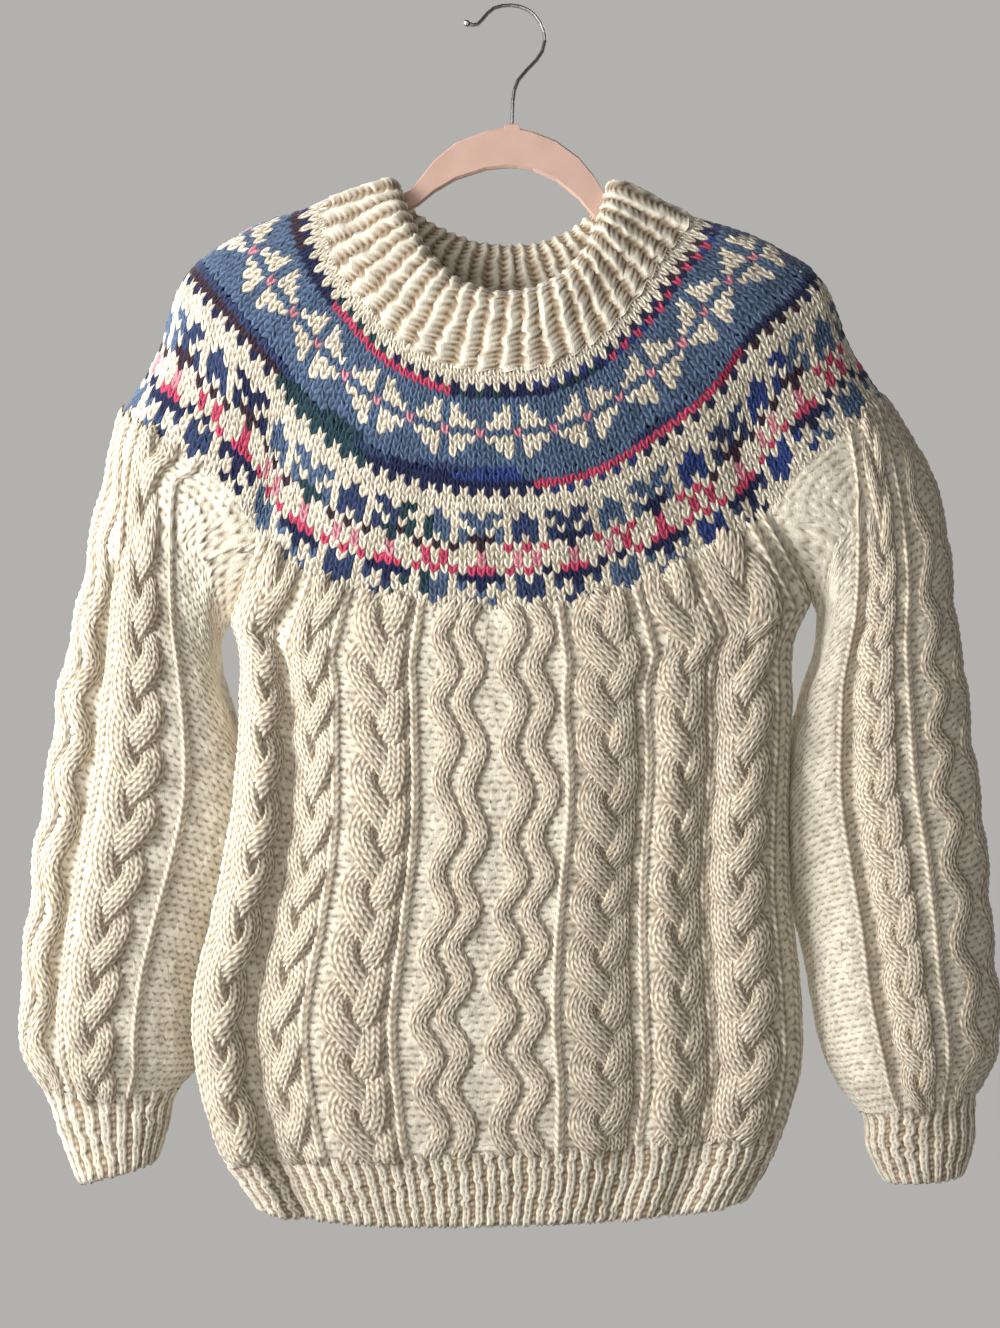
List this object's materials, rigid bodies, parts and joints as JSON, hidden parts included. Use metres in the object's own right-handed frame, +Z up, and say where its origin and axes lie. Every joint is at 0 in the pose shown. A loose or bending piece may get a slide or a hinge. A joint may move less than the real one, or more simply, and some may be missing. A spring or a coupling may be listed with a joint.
{
  "type": "fair isle jumper on a clothes hanger",
  "caption": "Hand-knitted jumper with a colourwork yoke, cabled body and sleeves and ribbed edges, worn flat on a slim velvet hanger with a wire hook.",
  "frame": {"origin": "inside top of the bend in the hanger's hook, where it rests on a rod", "axes": "+Z up, -Y towards the viewer of the garment's front, +X to that viewer's right"},
  "size_m": [0.7122, 0.0881, 0.8911],
  "materials": {
    "front_panel": "soft hand-knitted aran wool",
    "back_panel": "soft hand-knitted aran wool",
    "left_sleeve": "soft hand-knitted aran wool",
    "right_sleeve": "soft hand-knitted aran wool",
    "neckband": "soft hand-knitted aran wool",
    "hem_rib": "soft hand-knitted aran wool",
    "left_cuff": "soft hand-knitted aran wool",
    "right_cuff": "soft hand-knitted aran wool",
    "yoke": "stranded colourwork in blue, cream, pink and dark wool",
    "hanger": "flocked velvet skin over a flat plastic hanger",
    "hanger_hook": "polished wire"
  },
  "bodies": {
    "root": {"front_panel": "front_panel", "back_panel": "back_panel", "left_sleeve": "left_sleeve", "right_sleeve": "right_sleeve", "neckband": "neckband", "hem_rib": "hem_rib", "left_cuff": "left_cuff", "right_cuff": "right_cuff", "yoke": "yoke", "hanger": "hanger", "hanger_hook": "hanger_hook"}
  },
  "joints": []
}
